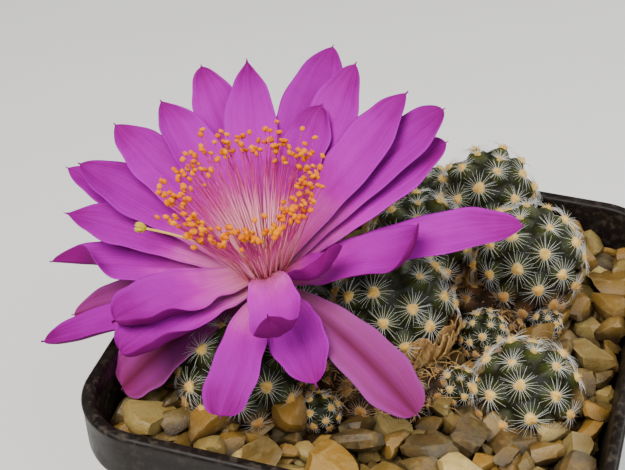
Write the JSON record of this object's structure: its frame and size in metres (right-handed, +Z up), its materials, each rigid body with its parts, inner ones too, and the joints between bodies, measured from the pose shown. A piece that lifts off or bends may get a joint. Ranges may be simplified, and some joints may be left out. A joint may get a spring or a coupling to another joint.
{
  "type": "potted round cactus",
  "caption": "Clump of small round cactus heads with one large many-petalled flower, in a square plastic pot topped with crushed stone.",
  "frame": {"origin": "middle of the pot's flat base, on the surface it stands on", "axes": "+Z up through the plant; the pot's four sides face +X, -X, +Y and -Y; the flower leans out over the -X side"},
  "size_m": [0.0825, 0.07, 0.0971],
  "materials": {
    "pot_plastic": "satin black-brown",
    "compost": "rough dark soil",
    "flint": "matt crushed flint, honey and grey",
    "cactus_skin": "dark olive, slightly waxy",
    "old_cork": "matt brown",
    "dried_husk": "papery tan",
    "petal_magenta": "soft silky magenta",
    "petal_outer": "pale pink margins, brownish-pink middle",
    "flower_tube": "soft pink",
    "stamen": "powdery golden yellow",
    "stigma": "moist yellow-green"
  },
  "bodies": {
    "root": {"compost": "compost", "dried_skin": "dried_husk", "flower_tube": "flower_tube", "gravel_bed": "flint", "head_back": "cactus_skin", "head_back_right": "cactus_skin", "head_centre_back": "cactus_skin", "head_flower_bearer": "cactus_skin", "head_front_left": "cactus_skin", "head_lower_right": "cactus_skin", "head_middle": "cactus_skin", "head_right": "cactus_skin", "offset_bud": "cactus_skin", "offset_front": "cactus_skin", "offset_green": "cactus_skin", "offset_small": "cactus_skin", "old_body_left": "old_cork", "old_body_right": "old_cork", "petal_behind_right": "petal_outer", "petal_broad_a": "petal_magenta", "petal_broad_b": "petal_magenta", "petal_front_big": "petal_magenta", "petal_front_curl": "petal_magenta", "petal_left_back": "petal_magenta", "petal_left_fold": "petal_magenta", "petal_left_long_low": "petal_magenta", "petal_left_pale": "petal_outer", "petal_left_pointed": "petal_magenta", "petal_left_upper": "petal_magenta", "petal_long_lower_right": "petal_outer", "petal_low_left_pale": "petal_outer", "petal_lower_point": "petal_magenta", "petal_right_centre": "petal_magenta", "petal_right_long": "petal_magenta", "petal_right_upper": "petal_magenta", "petal_small_curl": "petal_magenta", "petal_top_a": "petal_magenta", "petal_top_b": "petal_magenta", "petal_top_c": "petal_magenta", "petal_top_d": "petal_magenta", "petal_top_inner": "petal_magenta", "petal_upper_left_a": "petal_magenta", "petal_upper_left_b": "petal_magenta", "petal_upper_right_a": "petal_magenta", "petal_upper_right_b": "petal_magenta", "pot": "pot_plastic", "stamens": "stamen", "stone_back_left": "flint", "stone_back_right": "flint", "stone_front_a": "flint", "stone_front_b": "flint", "stone_front_c": "flint", "stone_front_left": "flint", "stone_front_right": "flint", "stone_left": "flint", "stone_right_a": "flint", "stone_right_b": "flint", "stone_right_c": "flint", "style": "stigma"}
  },
  "joints": []
}
